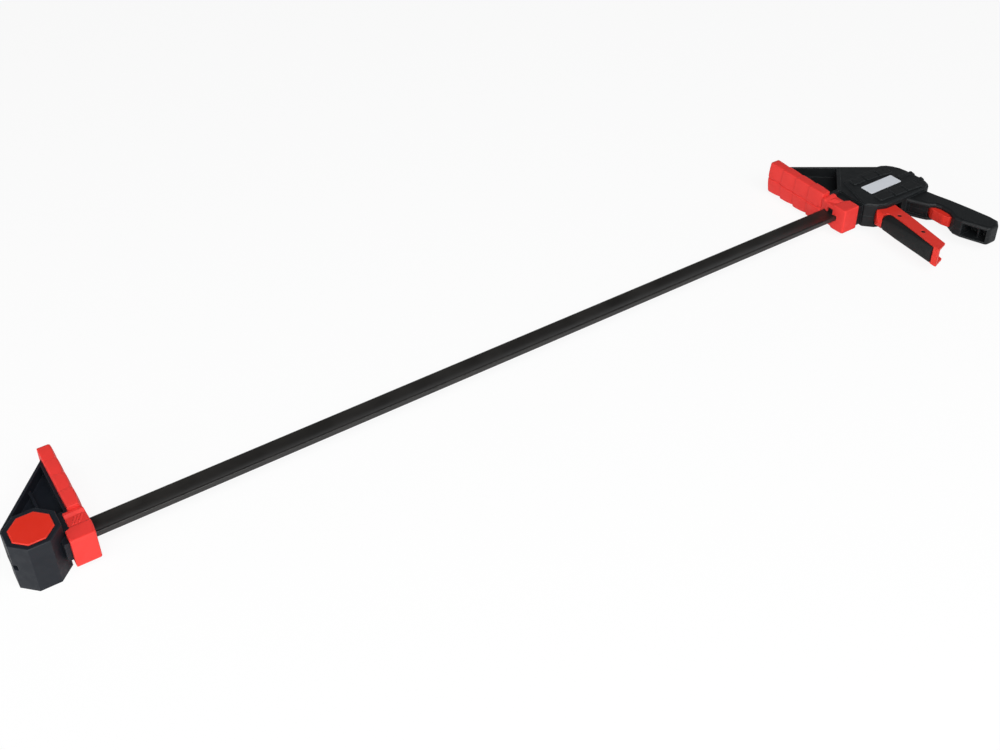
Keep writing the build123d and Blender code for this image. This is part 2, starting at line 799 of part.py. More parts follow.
        # holes for the two pins
        with BuildSketch(jaw_mid):
            with Locations((trigger_pivot_x, trigger_pivot_y)):
                Circle(trigger_pin_radius + running)
        extrude(amount=bay_half, mode=Mode.SUBTRACT)
        with BuildSketch(jaw_mid):
            with Locations((release_pivot_x, release_pivot_y)):
                Circle(release_pin_radius + running)
        extrude(amount=handle_half - release_pin_cover, mode=Mode.SUBTRACT)
    return half.part


plain_half = jaw_half()

with BuildPart() as jaw_shell_upper:
    add(plain_half)
    with BuildSketch(jaw_mid):
        with Locations(*screw_places):
            Circle(screw_radius + running / 2)
    extrude(amount=screw_reach + moving_gap, mode=Mode.SUBTRACT)
    with BuildSketch(jaw_mid.offset(plateau_top - label_sunk)):
        with Locations((label_x, label_y)):
            Rectangle(label_length + 2 * slip_on, label_width + 2 * slip_on)
    extrude(amount=2 * label_thickness, mode=Mode.SUBTRACT)
write(jaw_shell_upper.part, "jaw_shell_upper")


with BuildPart() as jaw_shell_lower:
    add(mirror(plain_half, about=mid))
    for place in screw_places:
        with BuildSketch(jaw_mid):
            with Locations(place):
                Circle(screw_radius + screw_play)
        extrude(amount=-screw_face(place), mode=Mode.SUBTRACT)
        with BuildSketch(jaw_mid.offset(-screw_face(place))):
            with Locations(place):
                Circle(screw_head_radius + screw_play / 2)
        extrude(amount=-plateau_top, mode=Mode.SUBTRACT)
write(jaw_shell_lower.part, "jaw_shell_lower")

with BuildPart() as shell_screws:
    for place in screw_places:
        with BuildSketch(jaw_mid.offset(screw_reach)):
            with Locations(place):
                Circle(screw_radius)
        extrude(amount=-(screw_reach + screw_face(place)))
        with BuildSketch(jaw_mid.offset(-screw_face(place))):
            with Locations(place):
                Circle(screw_head_radius)
                RegularPolygon(screw_socket, 6, mode=Mode.SUBTRACT)
        extrude(amount=screw_sunk - screw_head_depth)
        with BuildSketch(jaw_mid.offset(-screw_face(place))):
            with Locations(place):
                Circle(screw_head_radius)
        extrude(amount=screw_socket_depth + screw_sunk - screw_head_depth)
write(shell_screws.part, "shell_screws")

with BuildPart() as label_plate:
    with BuildSketch(jaw_mid.offset(plateau_top - label_sunk)):
        with Locations((label_x, label_y)):
            RectangleRounded(label_length, label_width, label_corner)
    extrude(amount=label_thickness)
write(label_plate.part, "label_plate")

with BuildPart() as trigger_pin:
    with BuildSketch(jaw_mid):
        with Locations((trigger_pivot_x, trigger_pivot_y)):
            Circle(trigger_pin_radius)
    extrude(amount=bay_half - moving_gap, both=True)
write(trigger_pin.part, "trigger_pin")

with BuildPart() as release_pin:
    with BuildSketch(jaw_mid):
        with Locations((release_pivot_x, release_pivot_y)):
            Circle(release_pin_radius)
    extrude(amount=handle_half - release_pin_cover - moving_gap, both=True)
write(release_pin.part, "release_pin")


# ---- Trigger and its grip ----
def trigger_taper(inset):
    """Side view of the trigger, Y against Z: narrow at its neck, wide at its end."""
    return outline(
        (-trigger_end - 20, inset - trigger_half),
        (-trigger_wide, inset - trigger_half + 1),
        (-trigger_neck_end, inset - trigger_neck_half),
        (0, inset - trigger_neck_half),
        (0, trigger_neck_half - inset),
        (-trigger_neck_end, trigger_neck_half - inset),
        (-trigger_wide, trigger_half - 1 - inset),
        (-trigger_end - 20, trigger_half - inset),
    )


def tapered(face, inset):
    """A plan face drawn from the sliding jaw, as thick as the trigger is along its length."""
    slab = extrude(jaw_mid * face, amount=trigger_half, both=True, mode=Mode.PRIVATE)
    keep = extrude(across(jaw_x) * trigger_taper(inset), amount=2 * body_rear, mode=Mode.PRIVATE)
    return slab & keep


def rounded_front(section_list):
    """The space behind the trigger's round front, through sections (y, corner, half, nose)."""
    with BuildPart() as space:
        for y, corner, half, nose in section_list:
            with BuildSketch(Plane((jaw_x, y, axis_z), x_dir=(1, 0, 0), z_dir=(0, -1, 0))):
                with BuildLine():
                    Polyline((corner, -half), (body_rear, -half), (body_rear, half), (corner, half))
                    ThreePointArc((corner, half), (nose, 0), (corner, -half))
                make_face()
        loft(ruled=True)
    return space.part


front_sections = ((0.0, 31.0, 9.8, 21.2), (-42.0, 31.0, 9.8, 21.2), (-71.0, 26.2, 12.2, 20.0), (-140.0, 20.8, 12.8, 17.6))
grip_arch = ((20.0, -50.0), (23.5, -47.2), (27.5, -45.4), (31.5, -45.4), (34.0, -47.4))
grip_top = (35.0, -51.0)
grip_mid = (28.9, -85.0)
grip_foot = (22.0, 3.5 - trigger_end)
back_top = (54.5, -39.0)
back_foot = (37.0, -trigger_end)
cam_low = (53.5, -27.0)
cam_high = (51.0, -20.0)
trigger_points = (
    (trigger_pivot_x - trigger_head_radius, trigger_pivot_y),
    (31.0, -31.5),
    (28.6, -33.6),
    (25.6, -36.2),
    (22.9, -39.4),
    (21.2, -43.2),
    (20.0, -48.0),
    *grip_arch,
    grip_top,
    grip_mid,
    grip_foot,
    (20.5, 2 - trigger_end),
    (21.5, -trigger_end - 5),
    back_foot,
    (45.5, -85.0),
    back_top,
    cam_low,
    cam_high,
    (trigger_pivot_x + trigger_head_radius, trigger_pivot_y),
)
hollow_points = (
    (grip_top[0] + trigger_front_wall + 2, grip_top[1] - 1),
    (grip_mid[0] + trigger_front_wall, grip_mid[1]),
    (grip_foot[0] + trigger_front_wall, -trigger_end),
    (grip_foot[0] + trigger_front_wall + 1, -trigger_end - 12),
    (back_foot[0] + 20, -trigger_end - 12),
    (back_top[0] + 10, grip_top[1] - 1),
)


def neck_plan(place, grow):
    """Plan of the neck of rubber that joins a plug to the grip, through the trigger's front wall."""
    return outline(
        (plug_neck_root, place[1] - plug_neck_width / 2 - grow),
        (place[0], place[1] - plug_neck_width / 2 - grow),
        (place[0], place[1] + plug_neck_width / 2 + grow),
        (plug_neck_root, place[1] + plug_neck_width / 2 + grow),
    )


def grip_plug(place):
    """The plug of rubber that fills one of the trigger's holes, with its neck."""
    with BuildPart() as plug:
        with BuildSketch(jaw_mid):
            with Locations(place):
                Circle(trigger_hole_radius - running)
        extrude(amount=trigger_half, both=True)
        short = extrude(across(jaw_x) * trigger_taper(plug_sunk), amount=2 * body_rear, mode=Mode.PRIVATE)
        add(short, mode=Mode.INTERSECT)
        with BuildSketch(jaw_mid):
            add(neck_plan(place, 0))
        extrude(amount=plug_neck_half, both=True)
    return plug.part


with BuildPart() as trigger_lever:
    add(tapered(outline(*trigger_points), 0))
    with BuildSketch(jaw_mid):
        with Locations((trigger_pivot_x, trigger_pivot_y)):
            Circle(trigger_head_radius)
    extrude(amount=trigger_neck_half, both=True)
    add(tapered(outline(*hollow_points), trigger_flange), mode=Mode.SUBTRACT)
    with BuildSketch(jaw_mid):
        with Locations((trigger_pivot_x, trigger_pivot_y)):
            Circle(trigger_pin_radius + running)
        with Locations(*trigger_hole_places):
            Circle(trigger_hole_radius)
    extrude(amount=2 * trigger_half, both=True, mode=Mode.SUBTRACT)
    with BuildSketch(jaw_mid):
        for place in trigger_hole_places:
            add(neck_plan(place, running))
    extrude(amount=plug_neck_half + running, both=True, mode=Mode.SUBTRACT)
    add(rounded_front(front_sections), mode=Mode.INTERSECT)
write(trigger_lever.part, "trigger_lever")

plugs = [grip_plug(place) for place in trigger_hole_places]

with BuildPart() as trigger_grip:
    with BuildSketch(jaw_mid):
        with BuildLine():
            Polyline((grip_arch[0][0], grip_foot[1]), *grip_arch, grip_top, grip_mid, grip_foot, close=True)
        make_face()
    extrude(amount=trigger_half, both=True)
    narrow = extrude(across(jaw_x) * trigger_taper(grip_inset), amount=2 * body_rear, mode=Mode.PRIVATE)
    add(narrow, mode=Mode.INTERSECT)
    add(rounded_front(front_sections), mode=Mode.INTERSECT)
    for plug in plugs:
        add(plug)
write(trigger_grip.part, "trigger_grip")

# ---- Drive plates, brake plates and their springs ----
drive_pitch = drive_plate_thickness + plate_gap
for count in range(drive_plate_count):
    with BuildPart() as drive_plate:
        with BuildSketch(across(jaw_x + drive_plate_front + count * drive_pitch)):
            with Locations(((drive_plate_high - drive_plate_low) / 2, 0)):
                Rectangle(drive_plate_high + drive_plate_low, 2 * drive_plate_half)
            Rectangle(bar_width + 2 * sliding, bar_thickness + 2 * sliding, mode=Mode.SUBTRACT)
        extrude(amount=drive_plate_thickness)
    write(drive_plate.part, f"drive_plate_{count + 1}")

brake_pitch = brake_plate_thickness + plate_gap
brake_axis = Axis((jaw_x + brake_plate_front, brake_pivot_y, axis_z), (0, 0, 1))
for count in range(brake_plate_count):
    with BuildPart() as brake_plate:
        with BuildSketch(across(jaw_x + brake_plate_front + count * brake_pitch)):
            with Locations(((brake_plate_high - brake_plate_low) / 2, 0)):
                Rectangle(brake_plate_high + brake_plate_low, 2 * drive_plate_half)
            Rectangle(brake_hole_height, bar_thickness + 2 * sliding, mode=Mode.SUBTRACT)
        extrude(amount=brake_plate_thickness)
    write(brake_plate.part.rotate(brake_axis, -brake_tilt), f"brake_plate_{count + 1}")

drive_stack = drive_plate_front + drive_plate_count * drive_pitch
drive_spring = coil(
    (jaw_x + drive_stack, 0, axis_z), web_front - drive_stack, bar_spring_radius, bar_spring_wire,
    drive_spring_turns, (1, 0, 0),
)
write(drive_spring, "drive_spring")

brake_stack = brake_plate_front + brake_plate_count * brake_pitch
brake_spring = coil(
    (jaw_x + brake_stack, 0, axis_z), bay_rear - brake_stack, bar_spring_radius,
    bar_spring_wire, brake_spring_turns, (1, 0, 0),
)
write(brake_spring, "brake_spring")

# ---- Release lever ----
brake_reach = brake_pivot_y + brake_plate_low
tail_x = brake_plate_front - (brake_reach - tail_grip) * sin(radians(brake_tilt)) - moving_gap
tail_y = tail_grip - brake_plate_low
with BuildPart() as release_lever:
    with BuildSketch(jaw_mid):
        add(
            outline(
                (tail_x, tail_y),
                (tail_x - 2.5, tail_y - 1),
                (tail_x - 1, tail_y - 14),
                (92, -58),
                (89, -62.5),
                (87.3, -68),
                (87.3, -82),
                (89.5, -89.5),
                (94, -91),
                (release_pivot_x - release_eye, release_pivot_y),
                (release_pivot_x + release_eye, release_pivot_y),
                (98.5, -90),
                (102, -85),
                (102, -67),
                (99, -61),
                (tail_x + 6, tail_y - 14),
                (tail_x - 0.5, tail_y - 4),
            )
        )
        with Locations((release_pivot_x, release_pivot_y)):
            Circle(release_eye)
            Circle(release_pin_radius + running, mode=Mode.SUBTRACT)
    extrude(amount=release_half, both=True)
write(release_lever.part, "release_lever")
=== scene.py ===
"""A one-handed bar clamp on its side: steel bar, pinned fixed jaw, and sliding jaw with a trigger."""

import bpy
import numpy as np
from mathutils import Matrix, Vector


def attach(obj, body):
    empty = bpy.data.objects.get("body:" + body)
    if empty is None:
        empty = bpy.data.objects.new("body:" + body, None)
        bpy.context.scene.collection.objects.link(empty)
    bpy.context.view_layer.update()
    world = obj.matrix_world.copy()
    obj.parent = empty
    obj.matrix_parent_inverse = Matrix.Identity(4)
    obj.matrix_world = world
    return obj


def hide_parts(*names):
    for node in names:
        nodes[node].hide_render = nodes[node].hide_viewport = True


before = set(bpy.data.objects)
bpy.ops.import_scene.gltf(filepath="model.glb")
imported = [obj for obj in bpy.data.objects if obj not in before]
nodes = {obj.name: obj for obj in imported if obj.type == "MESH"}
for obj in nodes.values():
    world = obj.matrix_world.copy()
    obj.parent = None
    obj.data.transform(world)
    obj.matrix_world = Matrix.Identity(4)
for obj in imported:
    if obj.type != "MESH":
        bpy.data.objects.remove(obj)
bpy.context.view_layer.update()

# ---- Studio ----
# White paper on a bench, with a white wall low all round and a dark ceiling. One large soft box
# hangs in front above the clamp, and a smaller one stands beside the fixed jaw.
LENS, SHIFT = 45.8, (0.0106, -0.1095)
STAND = (-0.0744, -0.8481, 0.8551)
TURN, TILT, ROLL = np.radians((32.478, 35.353, -0.897))  # from +Y towards +X, downwards, about the view
WALL_TOP, CEILING = 0.16, 0.46  # as the sine of the height above the horizon
WALL_LIGHT, CEILING_LIGHT = 0.85, 0.04
PAPER_LEFT, PAPER_RIGHT, PAPER_REACH = -8, 9, 8
PAPER_GREY, PLAIN_WHITE = 0.9, 0.9  # the paper's own colour, and its share that the camera sees as white

camera_data = bpy.data.cameras.new("camera")
camera_data.sensor_width = 36
camera_data.lens = LENS
camera_data.shift_x, camera_data.shift_y = SHIFT
camera_data.clip_start, camera_data.clip_end = 0.01, 50
camera = bpy.data.objects.new("camera", camera_data)
bpy.context.scene.collection.objects.link(camera)
bpy.context.scene.camera = camera
ahead = np.array((np.sin(TURN) * np.cos(TILT), np.cos(TURN) * np.cos(TILT), -np.sin(TILT)))
level = np.cross(ahead, (0, 0, 1))
level /= np.linalg.norm(level)
upright = np.cross(level, ahead)
right = level * np.cos(ROLL) + upright * np.sin(ROLL)
up = upright * np.cos(ROLL) - level * np.sin(ROLL)
camera.matrix_world = Matrix([(right[i], up[i], -ahead[i], STAND[i]) for i in range(3)] + [(0, 0, 0, 1)])


def add_node(tree, kind, sockets=None, **settings):
    """Adds a shader node with its settings, and sets or links the given sockets."""
    made = tree.nodes.new("ShaderNode" + kind)
    for field, value in settings.items():
        setattr(made, field, value)
    for socket, value in (sockets or {}).items():
        if isinstance(value, bpy.types.NodeSocket):
            tree.links.new(value, made.inputs[socket])
        else:
            made.inputs[socket].default_value = value
    return made


def new_material(name):
    """An empty material and its node tree."""
    material = bpy.data.materials.new(name)
    material.use_nodes = True
    material.node_tree.nodes.clear()
    return material, material.node_tree


def soft_box(name, place, aim, width, height, power):
    """A rectangular lamp that stands at place and looks at aim."""
    lamp = bpy.data.lights.new(name, "AREA")
    lamp.shape, lamp.size, lamp.size_y, lamp.energy = "RECTANGLE", width, height, power
    stand = bpy.data.objects.new(name, lamp)
    bpy.context.scene.collection.objects.link(stand)
    look = Vector(aim) - Vector(place)
    stand.matrix_world = Matrix.Translation(place) @ look.to_track_quat("-Z", "Y").to_matrix().to_4x4()


soft_box("front_box", place=(0.1, -1.5, 1.75), aim=(0.45, 0, 0.02), width=2.4, height=1.2, power=60)
soft_box("left_box", place=(-1.5, -0.5, 0.7), aim=(0.3, 0, 0.02), width=1.2, height=0.8, power=14)

world = bpy.data.worlds.new("studio")
world.use_nodes = True
air = world.node_tree
air.nodes.clear()
skyward = add_node(air, "TexCoord").outputs["Generated"]
climb = add_node(air, "SeparateXYZ", {0: skyward}).outputs["Z"]
glow = add_node(air, "MapRange", {
    "Value": climb, "From Min": WALL_TOP, "From Max": CEILING, "To Min": WALL_LIGHT, "To Max": CEILING_LIGHT,
}).outputs[0]
by_camera = add_node(air, "LightPath").outputs["Is Camera Ray"]
wall = add_node(air, "Background", {"Color": (0.95, 0.98, 1.0, 1), "Strength": glow}).outputs[0]
bright = add_node(air, "Background", {"Color": (1, 1, 1, 1), "Strength": 1.0}).outputs[0]
surround = add_node(air, "MixShader", {0: by_camera, 1: wall, 2: bright}).outputs[0]
add_node(air, "OutputWorld", {"Surface": surround})
bpy.context.scene.world = world
bpy.context.scene.view_settings.view_transform = "Standard"

paper_corners = [
    (PAPER_LEFT, -PAPER_REACH, 0), (PAPER_RIGHT, -PAPER_REACH, 0),
    (PAPER_RIGHT, PAPER_REACH, 0), (PAPER_LEFT, PAPER_REACH, 0),
]
paper_mesh = bpy.data.meshes.new("floor")
paper_mesh.from_pydata(paper_corners, [], [(0, 1, 2, 3)])
paper = bpy.data.objects.new("floor", paper_mesh)
bpy.context.scene.collection.objects.link(paper)
paper_white, tree = new_material("floor_paper")
lit = add_node(tree, "BsdfDiffuse", {"Color": (PAPER_GREY, PAPER_GREY, PAPER_GREY, 1)}).outputs[0]
white = add_node(tree, "Emission", {"Color": (1, 1, 1, 1), "Strength": 1.0}).outputs[0]
by_camera = add_node(tree, "LightPath").outputs["Is Camera Ray"]
share = add_node(tree, "Math", {0: by_camera, 1: PLAIN_WHITE}, operation="MULTIPLY").outputs[0]
look = add_node(tree, "MixShader", {0: share, 1: lit, 2: white}).outputs[0]
add_node(tree, "OutputMaterial", {"Surface": look})
paper_mesh.materials.append(paper_white)

# ---- Bar ----
# One length of flat steel, rolled with a shallow hollow along each side and then blackened. Its
# surface keeps the fine lines of the drawing die, and its edges are painted paler: partly wear,
# partly a painted highlight.
LINE_DEPTH = 0.000004  # of the die's lines, in metres
FLAT_COSINE, EDGE_COSINE = 0.985, 0.86


def group_of(name, inputs, outputs):
    """A shader node group with the named sockets, and what it is given and what it puts out."""
    group = bpy.data.node_groups.new(name, "ShaderNodeTree")
    for socket, kind, value in inputs:
        made = group.interface.new_socket(socket, in_out="INPUT", socket_type="NodeSocket" + kind)
        made.default_value = value
    for socket, kind in outputs:
        group.interface.new_socket(socket, in_out="OUTPUT", socket_type="NodeSocket" + kind)
    return group, group.nodes.new("NodeGroupInput").outputs, group.nodes.new("NodeGroupOutput").inputs


def blended(tree, share, low, high):
    """Mixes two colours: low where the share is 0, high where it is 1."""
    mix = tree.nodes.new("ShaderNodeMix")
    mix.data_type, mix.clamp_factor = "RGBA", True
    for socket, value in ((0, share), (6, low), (7, high)):
        if isinstance(value, bpy.types.NodeSocket):
            tree.links.new(value, mix.inputs[socket])
        else:
            mix.inputs[socket].default_value = value
    return mix.outputs[2]


# Rounds each sharp edge in the shading and says where the edges are: their share rises from 0 to 1
# as the cosine of the angle between the true face and the rounded one falls. The materials paint
# their edges paler by this share, partly as wear and partly as a painted highlight.
soft_edge, given, out = group_of(
    "soft_edge", [("Radius", "Float", 0.0006)], [("Normal", "Vector"), ("Edge", "Float")]
)
rounded = add_node(soft_edge, "Bevel", {"Radius": given["Radius"]}, samples=6).outputs[0]
true_face = add_node(soft_edge, "NewGeometry").outputs["True Normal"]
cosine = add_node(
    soft_edge, "VectorMath", {0: rounded, 1: true_face}, operation="DOT_PRODUCT"
).outputs["Value"]
edge = add_node(
    soft_edge, "MapRange", {"Value": cosine, "From Min": FLAT_COSINE, "From Max": EDGE_COSINE}
).outputs[0]
soft_edge.links.new(rounded, out["Normal"])
soft_edge.links.new(edge, out["Edge"])

# Steel that was drawn, rolled or ground along X: long fine lines, and broad patches of oil or
# oxide that change its colour and gloss.
drawn, given, out = group_of(
    "drawn_steel",
    [
        ("Dark", "Color", (0.01, 0.01, 0.01, 1)),
        ("Light", "Color", (0.02, 0.02, 0.02, 1)),
        ("Fine", "Float", 4000.0),
        ("Stretch", "Float", 0.01),
        ("Smooth", "Float", 0.3),
        ("Rough", "Float", 0.45),
    ],
    [("Colour", "Color"), ("Roughness", "Float"), ("Height", "Float")],
)
spot = add_node(drawn, "TexCoord").outputs["Object"]
along = add_node(drawn, "SeparateXYZ", {0: spot})
slow = add_node(drawn, "Math", {0: along.outputs[0], 1: given["Stretch"]}, operation="MULTIPLY").outputs[0]
pulled = add_node(drawn, "CombineXYZ", {0: slow, 1: along.outputs[1], 2: along.outputs[2]}).outputs[0]
lines = add_node(drawn, "TexNoise", {"Vector": pulled, "Scale": given["Fine"], "Detail": 3.0}).outputs[0]
patches = add_node(
    drawn, "TexNoise", {"Vector": spot, "Scale": 28.0, "Detail": 5.0, "Roughness": 0.6}
).outputs[0]
both = add_node(drawn, "Math", {0: lines, 1: patches}).outputs[0]
tone = add_node(drawn, "MapRange", {"Value": both, "From Min": 0.7, "From Max": 1.3}).outputs[0]
drawn.links.new(blended(drawn, tone, given["Dark"], given["Light"]), out["Colour"])


def uneven_gloss(group, patches, given):
    """Roughness between the group's smooth and rough values, by the noise of its patches."""
    return add_node(group, "MapRange", {
        "Value": patches, "From Min": 0.35, "From Max": 0.65,
        "To Min": given["Smooth"], "To Max": given["Rough"],
    }).outputs[0]


drawn.links.new(uneven_gloss(drawn, patches, given), out["Roughness"])
drawn.links.new(lines, out["Height"])


def surfaced(name, group, values, worn_and_highlit, wear_and_highlight, depth, radius, **plain):
    """A material whose surface is a group's, with its edges rounded and painted paler: partly wear, partly a
    painted highlight.
    """
    material, tree = new_material(name)
    face = add_node(tree, "Group", values, node_tree=group)
    rim = add_node(tree, "Group", {"Radius": radius}, node_tree=soft_edge)
    # The edges are painted towards a paler colour: partly wear, partly a painted highlight.
    rubbed_and_highlit = add_node(tree, "Math", {0: rim.outputs["Edge"], 1: wear_and_highlight}, operation="MULTIPLY").outputs[0]
    colour = blended(tree, rubbed_and_highlit, face.outputs["Colour"], (*worn_and_highlit, 1))
    bump = add_node(tree, "Bump", {
        "Height": face.outputs["Height"], "Distance": depth, "Strength": 1.0, "Normal": rim.outputs["Normal"],
    }).outputs[0]
    shader = add_node(tree, "BsdfPrincipled", {
        "Base Color": colour, "Roughness": face.outputs["Roughness"], "Normal": bump, **plain,
    }).outputs[0]
    add_node(tree, "OutputMaterial", {"Surface": shader})
    return material


def steel(name, dark, light, worn_and_highlit, gloss, metallic=1.0, fine=4000.0, stretch=0.01, radius=0.0003, wear_and_highlight=0.6):
    """A drawn steel, with a colour from dark to light and a roughness between the gloss's two values."""
    values = {
        "Dark": (*dark, 1), "Light": (*light, 1), "Fine": fine, "Stretch": stretch,
        "Smooth": gloss[0], "Rough": gloss[1],
    }
    return surfaced(name, drawn, values, worn_and_highlit, wear_and_highlight, LINE_DEPTH, radius, Metallic=metallic)


def dress(material, *names):
    """Gives CAD nodes a material in place of the plain one they came with."""
    for name in names:
        nodes[name].data.materials.clear()
        nodes[name].data.materials.append(material)


blackened = steel(
    "blackened_bar", dark=(0.010, 0.0095, 0.009), light=(0.021, 0.0195, 0.018), worn_and_highlit=(0.05, 0.047, 0.044),
    gloss=(0.34, 0.46), metallic=0.0, radius=0.0005, wear_and_highlight=0.7,
)
dress(blackened, "bar")

# ---- Stop pin ----
# A short ground steel pin pressed through the bar's far end. It keeps the sliding jaw from
# running off the bar.
ground_pin = steel(
    "ground_pin", dark=(0.36, 0.36, 0.37), light=(0.5, 0.5, 0.51), worn_and_highlit=(0.62, 0.62, 0.63),
    gloss=(0.2, 0.32), stretch=0.6,
)
dress(ground_pin, "bar_stop_pin")

# ---- Fixed jaw ----
# The octagonal housing and its arm are one moulding of glass-filled nylon with a fine eroded
# skin. A thin cover of the same plastic snaps into the housing's lower face.
NYLON_GRAIN = 0.00003  # how deep the eroded skin is, in metres

moulding, given, out = group_of(
    "moulded_skin",
    [
        ("Colour", "Color", (0.5, 0.5, 0.5, 1)),
        ("Grain", "Float", 1800.0),
        ("Uneven", "Float", 0.1),
        ("Smooth", "Float", 0.4),
        ("Rough", "Float", 0.6),
    ],
    [("Colour", "Color"), ("Roughness", "Float"), ("Height", "Float")],
)
spot = add_node(moulding, "TexCoord").outputs["Object"]
grain = add_node(moulding, "TexNoise", {"Vector": spot, "Scale": given["Grain"], "Detail": 2.0}).outputs[0]
broad = add_node(moulding, "TexNoise", {"Vector": spot, "Scale": 45.0, "Detail": 4.0}).outputs[0]
patches = add_node(moulding, "TexNoise", {"Vector": spot, "Scale": 120.0, "Detail": 3.0}).outputs[0]
swing = add_node(moulding, "Math", {0: broad, 1: 0.5}, operation="SUBTRACT").outputs[0]
tone = add_node(
    moulding, "Math", {0: swing, 1: given["Uneven"], 2: 1.0}, operation="MULTIPLY_ADD"
).outputs[0]
shade = add_node(moulding, "VectorMath", {0: given["Colour"], "Scale": tone}, operation="SCALE").outputs[0]
moulding.links.new(shade, out["Colour"])
moulding.links.new(uneven_gloss(moulding, patches, given), out["Roughness"])
moulding.links.new(grain, out["Height"])


def moulded(name, colour, worn_and_highlit, depth, gloss, radius, grain=1800.0, uneven=0.12, wear_and_highlight=0.5, specular=0.3):
    """A moulded plastic or rubber, with a roughness between the gloss's two values."""
    values = {
        "Colour": (*colour, 1), "Grain": grain, "Uneven": uneven, "Smooth": gloss[0], "Rough": gloss[1],
    }
    return surfaced(name, moulding, values, worn_and_highlit, wear_and_highlight, depth, radius, **{"Specular IOR Level": specular})


housing_nylon = moulded(
    "housing_nylon", colour=(0.0075, 0.0098, 0.0145), worn_and_highlit=(0.030, 0.036, 0.046), depth=NYLON_GRAIN,
    gloss=(0.46, 0.6), radius=0.0009,
)
dress(housing_nylon, "fixed_jaw_housing")
cover_nylon = moulded(
    "cover_nylon", colour=(0.009, 0.0098, 0.0112), worn_and_highlit=(0.03, 0.033, 0.037), depth=NYLON_GRAIN,
    gloss=(0.5, 0.62), radius=0.0004,
)
dress(cover_nylon, "housing_base_cover")

# ---- Release button and lock pin ----
# An octagonal cap of red plastic in the housing's well. It carries the ground pin that locks the
# bar in the jaw, a spring pushes it up, and a spring clip under the housing holds it in.
RED_GRAIN = 0.000025  # how deep the red plastic's skin is, in metres

cap_red = moulded(
    "cap_red", colour=(0.68, 0.026, 0.012), worn_and_highlit=(0.92, 0.10, 0.07), depth=RED_GRAIN,
    gloss=(0.38, 0.52), radius=0.0011, uneven=0.08,
)
dress(cap_red, "release_button")
lock_pin_steel = steel(
    "lock_pin_steel", dark=(0.34, 0.34, 0.35), light=(0.5, 0.5, 0.51), worn_and_highlit=(0.62, 0.62, 0.63),
    gloss=(0.18, 0.3), stretch=0.6,
)
dress(lock_pin_steel, "lock_pin")
clip_steel = steel(
    "clip_steel", dark=(0.12, 0.12, 0.13), light=(0.2, 0.2, 0.21), worn_and_highlit=(0.4, 0.4, 0.41),
    gloss=(0.28, 0.42), stretch=0.4,
)
dress(clip_steel, "lock_pin_clip")
button_wire = steel(
    "button_wire", dark=(0.2, 0.2, 0.21), light=(0.32, 0.32, 0.33), worn_and_highlit=(0.45, 0.45, 0.46),
    gloss=(0.25, 0.4), stretch=0.5, radius=0.0001,
)
dress(button_wire, "button_spring")

# ---- Long pads ----
# Each jaw's working face is one moulding of red rubber, pushed over the arm's tongue. Its face is
# crowned, parted by a groove, and stepped like four overlapping scales. Sizes are in millimetres.
FIXED_BACK, SLIDING_BACK = 34.0, 958.2  # where each jaw's pads have their backs, along the bar
AXIS_Z = 25.5  # the bar's axis above the floor
LONG_FOOT, LONG_TIP = 15.6, 104.3  # from the bar's axis
LONG_HALF, LONG_EDGE, LONG_CROWN = 20.6, 12.1, 2.5
SCALES, LIP, LIP_SHARE = 4, 1.6, 0.03  # each scale's foot lies a lip below its top
FOOT_ROUND, TIP_ROUND, TIP_DROP = 1.0, 2.6, 2.2
BACK_ROUND, FACE_ROUND = 0.8, 1.5
POCKET_FOOT, POCKET_TIP, POCKET_HALF, POCKET_DEPTH = 21.6, 88.3, 14.1, 5.1


def skin(name, shells, material, body, node):
    """Makes a piece of closed skins and stands it for a CAD node.

    A shell is an array of rings by points by place, in millimetres. Each point is joined to the
    next on its ring and to its mates on the next ring. A shell whose first and last ring are the
    same is a closed tube; any other has each end closed by a fan to the ring's middle. The sum of
    the tetrahedra between the faces and the origin is the volume, and where that is negative the
    faces are turned over, so they always look outwards.
    """
    corners, faces, first = [], [], 0
    for rings in shells:
        joined = np.allclose(rings[0], rings[-1])
        rings = rings[:-1] if joined else rings
        rows, count = rings.shape[:2]
        grid = np.arange(rows * count).reshape(rows, count)
        near, far = (grid, np.roll(grid, -1, 0)) if joined else (grid[:-1], grid[1:])
        quads = np.stack((near, np.roll(near, -1, 1), np.roll(far, -1, 1), far), -1).reshape(-1, 4)
        points = rings.reshape(-1, 3)
        triangles = np.empty((0, 3), int)
        if not joined:
            ends = np.array((rings[0].mean(0), rings[-1].mean(0)))
            start = np.stack((np.full(count, rows * count), np.roll(grid[0], -1), grid[0]), -1)
            finish = np.stack((np.full(count, rows * count + 1), grid[-1], np.roll(grid[-1], -1)), -1)
            points, triangles = np.concatenate((points, ends)), np.concatenate((start, finish))
        halves = np.concatenate((quads[:, :3], quads[:, (0, 2, 3)], triangles))
        a, b, c = points[halves].transpose(1, 0, 2)
        if np.einsum("ij,ij->", a, np.cross(b, c)) < 0:
            quads, triangles = quads[:, ::-1], triangles[:, ::-1]
        corners.append(points)
        faces += (quads + first).tolist() + (triangles + first).tolist()
        first += len(points)
    mesh = bpy.data.meshes.new(name)
    mesh.from_pydata((np.concatenate(corners) / 1000).tolist(), [], faces)
    mesh.polygons.foreach_set("use_smooth", np.ones(len(mesh.polygons), bool))
    mesh.set_sharp_from_angle(angle=np.radians(30))
    mesh.materials.append(material)
    piece = bpy.data.objects.new(name, mesh)
    bpy.context.scene.collection.objects.link(piece)
    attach(piece, body)
    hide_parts(node)
    return piece


